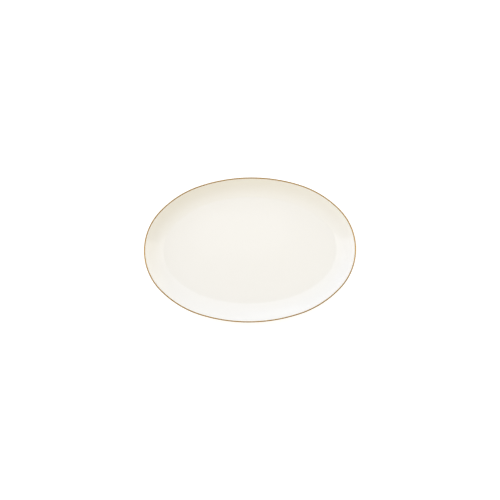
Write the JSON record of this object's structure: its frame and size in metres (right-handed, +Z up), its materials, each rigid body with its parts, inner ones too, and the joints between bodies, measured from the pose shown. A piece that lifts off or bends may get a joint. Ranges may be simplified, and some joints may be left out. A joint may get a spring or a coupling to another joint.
{
  "type": "china serving platter",
  "caption": "Oval coupe serving platter in ivory-glazed porcelain, with a fired gold line on its rounded lip and a bare standing foot ring underneath.",
  "frame": {"origin": "middle of the foot ring's standing plane, under the centre of the platter", "axes": "+X along the platter's length, +Y across it, +Z up out of the well"},
  "size_m": [0.35, 0.2396, 0.0265],
  "materials": {
    "biscuit_porcelain": "matte",
    "ivory_glaze": "gloss",
    "fired_gold": "polished"
  },
  "bodies": {
    "root": {"porcelain_body": "biscuit_porcelain", "face_glaze": "ivory_glaze", "base_glaze": "ivory_glaze", "gilt_rim_line": "fired_gold"}
  },
  "joints": []
}
